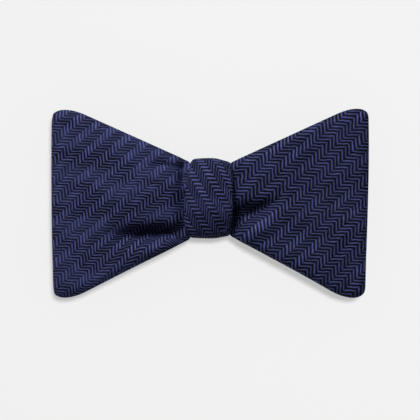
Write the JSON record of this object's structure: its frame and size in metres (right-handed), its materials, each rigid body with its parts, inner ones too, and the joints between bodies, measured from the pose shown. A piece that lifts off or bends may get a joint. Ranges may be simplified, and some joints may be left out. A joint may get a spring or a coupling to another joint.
{
  "type": "bow tie",
  "caption": "Butterfly bow tie of dark herringbone silk with a wrapped knot, and an adjustable neck strap folded behind it.",
  "frame": {"origin": "under the middle of the bow, on the surface that it lies on", "axes": "+X towards the viewer's right wing, +Y towards the top edge, +Z out of the front of the knot"},
  "size_m": [0.12, 0.071, 0.024],
  "materials": {
    "silk": "herringbone weave with a soft sheen",
    "strap_silk": "herringbone weave with a soft sheen",
    "interlining": "matt woven canvas",
    "thread": "twisted sewing thread",
    "slide_metal": "polished nickel plate",
    "hook_metal": "polished nickel plate",
    "eye_metal": "polished nickel plate"
  },
  "bodies": {
    "knot": {"knot_wrap": "silk", "knot_wrap_interlining": "interlining", "knot_stitches": "thread", "front_blade_centre": "silk", "rear_blade_centre": "silk", "strap_run_1": "strap_silk", "strap_run_1_interlining": "interlining", "eye_turn": "strap_silk", "eye_tack": "thread"},
    "left_rear_wing": {"left_tail": "silk", "left_tail_interlining": "interlining"},
    "left_front_wing": {"left_loop": "silk", "left_loop_interlining": "interlining"},
    "right_rear_wing": {"right_loop": "silk", "right_loop_interlining": "interlining"},
    "right_front_wing": {"right_tail": "silk", "right_tail_interlining": "interlining"},
    "second_run": {"strap_fold_1": "strap_silk", "strap_run_2": "strap_silk", "strap_run_2_interlining": "interlining"},
    "third_run": {"strap_fold_2": "strap_silk", "strap_run_3": "strap_silk", "strap_run_3_interlining": "interlining"},
    "fourth_run": {"strap_fold_3": "strap_silk", "strap_run_4": "strap_silk", "strap_run_4_interlining": "interlining"},
    "slide": {"slide_adjuster": "slide_metal", "slide_tack": "thread", "strap_return": "strap_silk"},
    "strap_end": {"strap_end_turn": "strap_silk"},
    "hook": {"hook": "hook_metal"},
    "eye": {"eye": "eye_metal"}
  },
  "joints": [
    {"name": "left_rear_bend", "type": "hinge", "parent": "knot", "child": "left_rear_wing", "pos_m": [-0.0106, 0, 0.021], "axis": [0, 1, 0], "range_deg": [0, 15], "stiffness_Nm_per_rad": 0.004},
    {"name": "left_front_bend", "type": "hinge", "parent": "left_rear_wing", "child": "left_front_wing", "pos_m": [-0.0106, 0, 0.021], "axis": [0, 1, 0], "range_deg": [0, 20], "stiffness_Nm_per_rad": 0.004},
    {"name": "right_rear_bend", "type": "hinge", "parent": "knot", "child": "right_rear_wing", "pos_m": [0.0106, 0, 0.021], "axis": [0, -1, 0], "range_deg": [0, 15], "stiffness_Nm_per_rad": 0.004},
    {"name": "right_front_bend", "type": "hinge", "parent": "right_rear_wing", "child": "right_front_wing", "pos_m": [0.0106, 0, 0.021], "axis": [0, -1, 0], "range_deg": [0, 20], "stiffness_Nm_per_rad": 0.004},
    {"name": "strap_fold_first", "type": "hinge", "parent": "knot", "child": "second_run", "pos_m": [0.0552, 0, 0.0092], "axis": [0, -1, 0], "range_deg": [0, 180], "deforming": ["strap_fold_1"]},
    {"name": "strap_fold_second", "type": "hinge", "parent": "second_run", "child": "third_run", "pos_m": [-0.03318, 0, 0.00705], "axis": [0, 1, 0], "range_deg": [0, 180], "deforming": ["strap_fold_2"]},
    {"name": "strap_fold_third", "type": "hinge", "parent": "third_run", "child": "fourth_run", "pos_m": [0.05673, 0, 0.00392], "axis": [0, -1, 0], "range_deg": [0, 180], "deforming": ["strap_fold_3"]},
    {"name": "slide_travel", "type": "slide", "parent": "fourth_run", "child": "slide", "axis": [1, 0, 0], "range_m": [-0.044, 0], "deforming": ["strap_return"]},
    {"name": "strap_end_travel", "type": "slide", "parent": "fourth_run", "child": "strap_end", "axis": [1, 0, 0], "range_m": [-0.022, 0]},
    {"name": "hook_swing", "type": "hinge", "parent": "strap_end", "child": "hook", "pos_m": [-0.014, 0.00185, 0.0027], "axis": [0, 1, 0], "range_deg": [-90, 0]},
    {"name": "eye_swing", "type": "hinge", "parent": "knot", "child": "eye", "pos_m": [-0.046, 0.00185, 0.00945], "axis": [0, 1, 0], "range_deg": [-90, 5]}
  ],
  "couplings": [
    {"joint": "strap_fold_second", "follows": "strap_fold_first", "ratio": 1},
    {"joint": "strap_fold_third", "follows": "strap_fold_first", "ratio": 1},
    {"joint": "strap_end_travel", "follows": "slide_travel", "ratio": 0.5}
  ]
}
